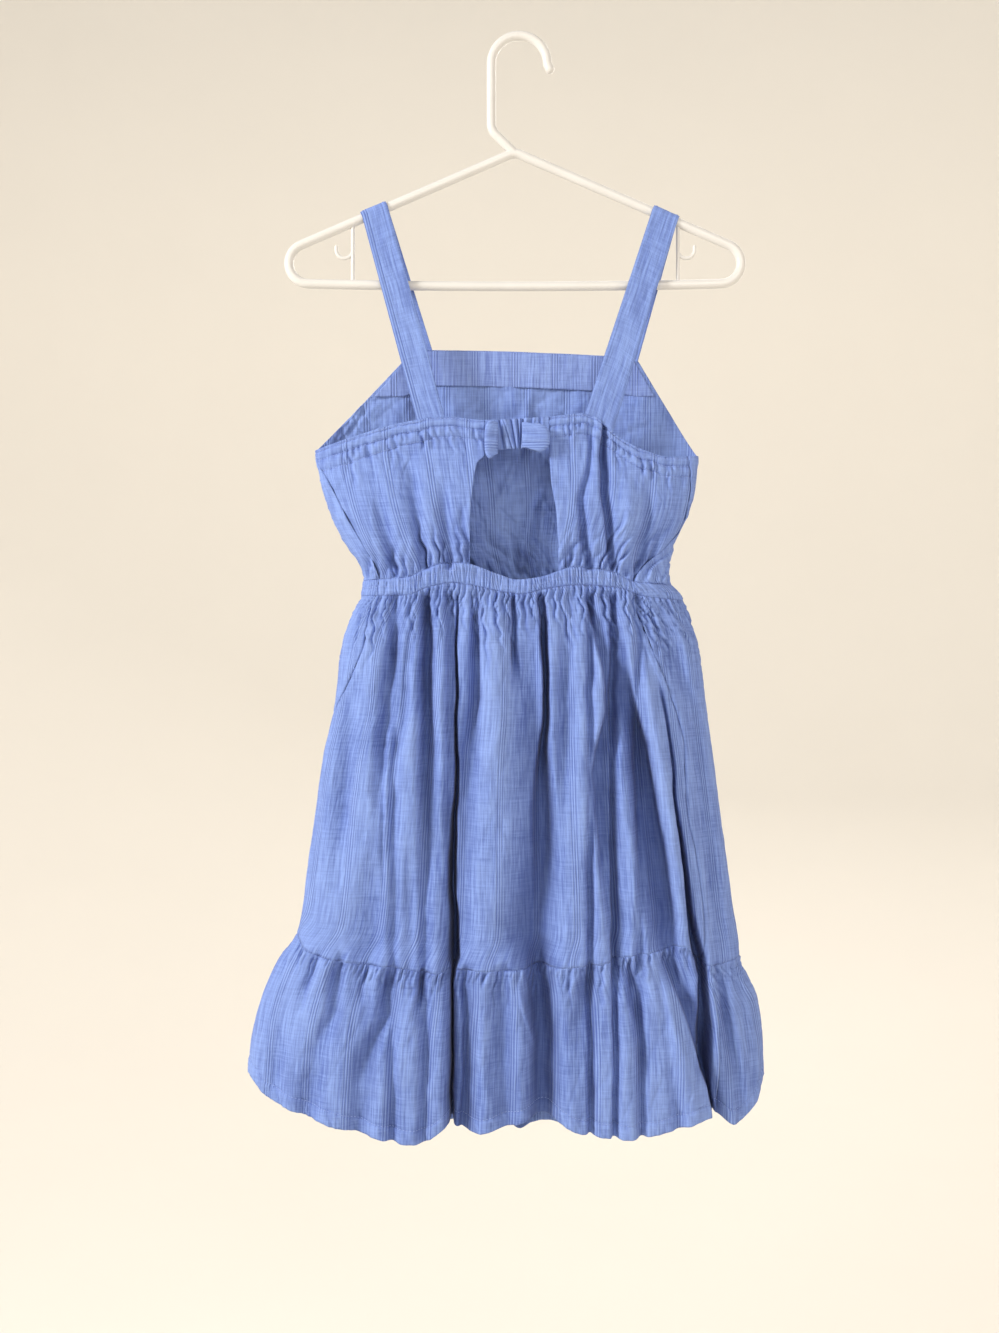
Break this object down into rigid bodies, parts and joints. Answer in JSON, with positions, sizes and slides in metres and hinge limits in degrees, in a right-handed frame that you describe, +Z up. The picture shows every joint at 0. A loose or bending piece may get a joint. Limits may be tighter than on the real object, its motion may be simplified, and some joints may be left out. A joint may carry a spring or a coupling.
{
  "type": "sundress on clothes hanger",
  "caption": "Sleeveless cotton sundress with straps, open keyhole back, small bow, elastic waist and gathered hem ruffle, hanging on a white tubular hanger.",
  "frame": {"origin": "inner top of the hanger's hook, where a rail or screw carries it", "axes": "+Z up, +Y towards the wall behind, so the dress's back faces -Y; +X to the right as seen from -Y"},
  "size_m": [0.4683, 0.071, 0.9984],
  "materials": {
    "chambray": "matte slubby cotton and linen chambray with fine drawn-thread ribs",
    "chambray_inside": "matte chambray, wrong side",
    "white_plastic": "smooth white moulded plastic"
  },
  "bodies": {
    "root": {"front_bodice": "chambray", "back_bodice_left": "chambray", "back_bodice_right": "chambray", "bow_bridge": "chambray", "bow_loop_left": "chambray", "bow_loop_right": "chambray", "strap_left": "chambray", "strap_right": "chambray", "waistband_back": "chambray", "waistband_front": "chambray", "skirt_back": "chambray", "skirt_front": "chambray", "ruffle_back": "chambray", "ruffle_front": "chambray", "front_neck_facing": "chambray_inside", "hanger": "white_plastic"}
  },
  "joints": []
}
